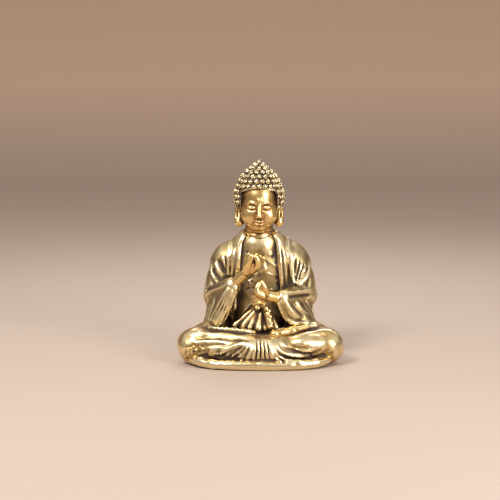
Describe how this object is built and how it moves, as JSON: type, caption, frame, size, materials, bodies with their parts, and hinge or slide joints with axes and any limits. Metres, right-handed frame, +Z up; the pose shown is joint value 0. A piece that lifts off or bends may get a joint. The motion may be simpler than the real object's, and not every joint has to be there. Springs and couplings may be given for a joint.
{
  "type": "buddha statue",
  "caption": "Small seated buddha statue in antiqued cast brass, teaching gesture, long-sleeved robe, curled hair, flat underside to stand on a shelf.",
  "frame": {"origin": "centre of the flat underside, on the surface that the statue stands on", "axes": "+Z up; the figure faces -Y; its own right hand is on the -X side"},
  "size_m": [0.0342, 0.022, 0.042],
  "materials": {
    "brass_robe": "cast brass, dark patina in the folds, rubbed bright on the ridges",
    "brass_skin": "cast brass, smooth and rubbed bright, brown in the recesses",
    "brass_hair": "cast brass, near-black between the curls, bright on their tips",
    "brass_plate": "filed flat and dull"
  },
  "bodies": {
    "root": {"lap_casting": "brass_robe", "base_plate": "brass_plate", "torso_casting": "brass_robe", "collar_band": "brass_robe", "right_sleeve": "brass_robe", "left_sleeve": "brass_robe", "sash": "brass_robe", "toes": "brass_skin", "right_hand": "brass_skin", "left_hand": "brass_skin", "head": "brass_skin", "urna": "brass_skin", "right_ear": "brass_skin", "left_ear": "brass_skin", "hair_cap": "brass_hair", "hair_curls": "brass_hair", "shoulder_dowels": "brass_plate"}
  },
  "joints": []
}
